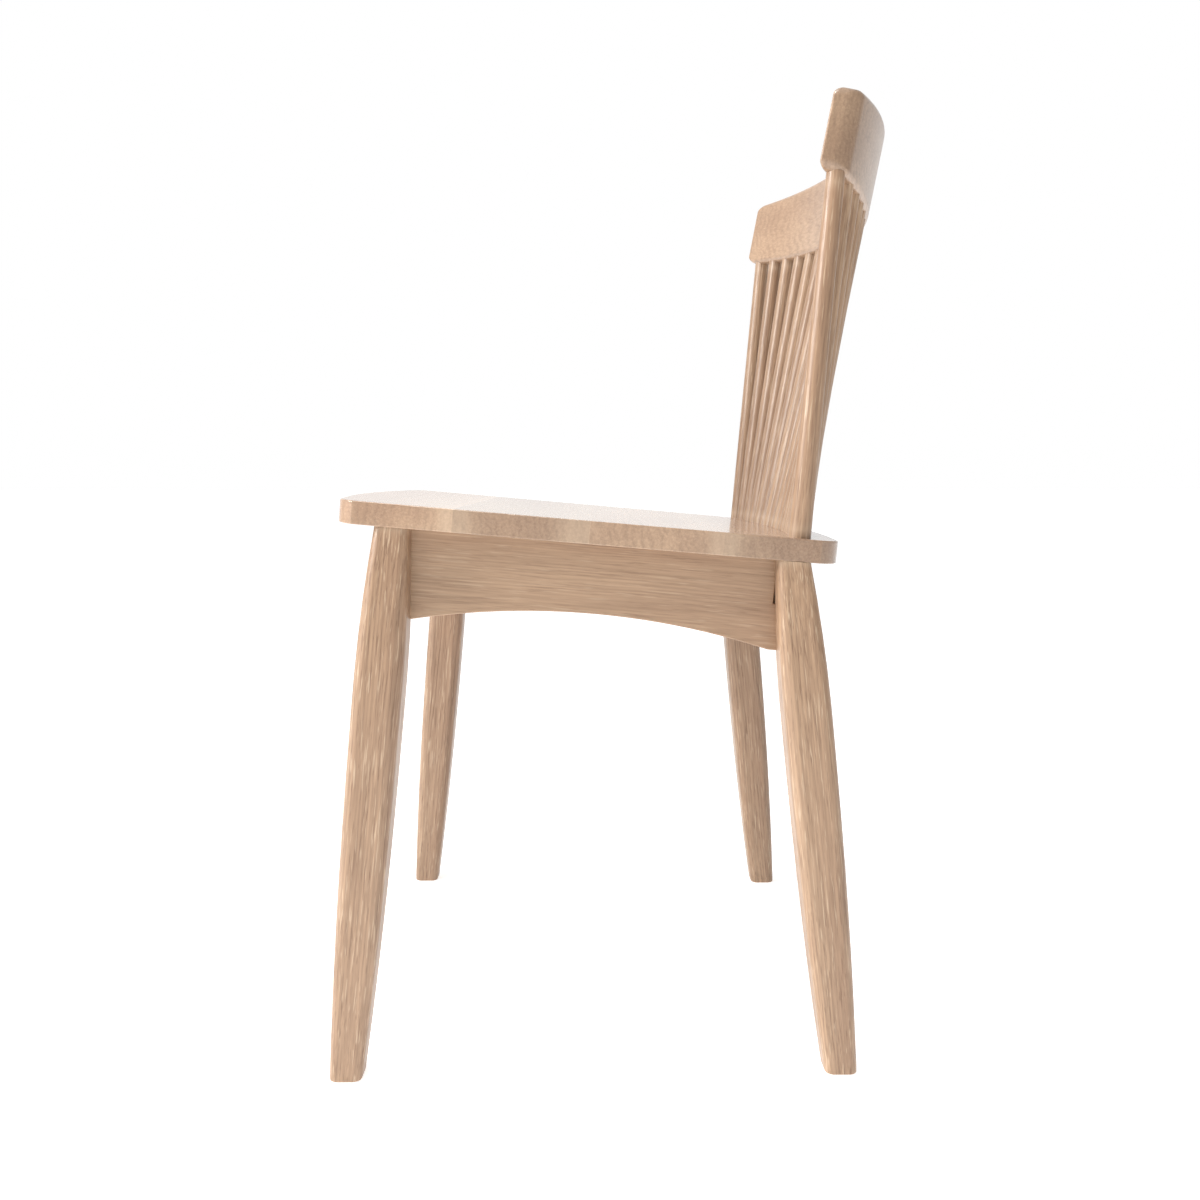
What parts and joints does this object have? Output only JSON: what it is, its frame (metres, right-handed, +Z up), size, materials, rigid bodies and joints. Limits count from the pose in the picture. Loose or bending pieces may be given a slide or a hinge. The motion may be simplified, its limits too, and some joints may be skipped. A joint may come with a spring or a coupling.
{
  "type": "dining chair",
  "caption": "Solid pale oak dining chair with a flat tilted board seat, splayed tapered legs, arched aprons and a curved back of slender spindles under a bent crest rail.",
  "frame": {"origin": "on the floor, under the centre of the chair's own box", "axes": "+Z up, -Y towards the front where the sitter's knees are, +X to the sitter's left; the chair is symmetric about X = 0. Left and right in node names are as seen by someone who faces the chair, so right is +X"},
  "size_m": [0.491, 0.49, 0.806],
  "materials": {
    "seat_wood": "matte lacquer",
    "leg_wood": "matte lacquer",
    "apron_wood": "matte lacquer",
    "block_wood": "matte lacquer",
    "crest_wood": "matte lacquer",
    "spindle_wood": "matte lacquer",
    "screw_steel": "zinc plated"
  },
  "bodies": {
    "root": {"seat_board_1": "seat_wood", "seat_board_2": "seat_wood", "seat_board_3": "seat_wood", "seat_board_4": "seat_wood", "leg_front_left": "leg_wood", "leg_front_right": "leg_wood", "leg_back_left": "leg_wood", "leg_back_right": "leg_wood", "apron_left": "apron_wood", "apron_right": "apron_wood", "apron_front": "apron_wood", "apron_back": "apron_wood", "block_front_left": "block_wood", "block_front_right": "block_wood", "block_back_left": "block_wood", "block_back_right": "block_wood", "seat_screws": "screw_steel", "block_screws": "screw_steel", "crest_rail": "crest_wood", "spindle_01": "spindle_wood", "spindle_02": "spindle_wood", "spindle_03": "spindle_wood", "spindle_04": "spindle_wood", "spindle_05": "spindle_wood", "spindle_06": "spindle_wood", "spindle_07": "spindle_wood", "spindle_08": "spindle_wood", "spindle_09": "spindle_wood", "spindle_10": "spindle_wood", "spindle_11": "spindle_wood", "spindle_12": "spindle_wood", "spindle_13": "spindle_wood", "spindle_14": "spindle_wood", "spindle_15": "spindle_wood", "spindle_16": "spindle_wood", "spindle_17": "spindle_wood"}
  },
  "joints": []
}
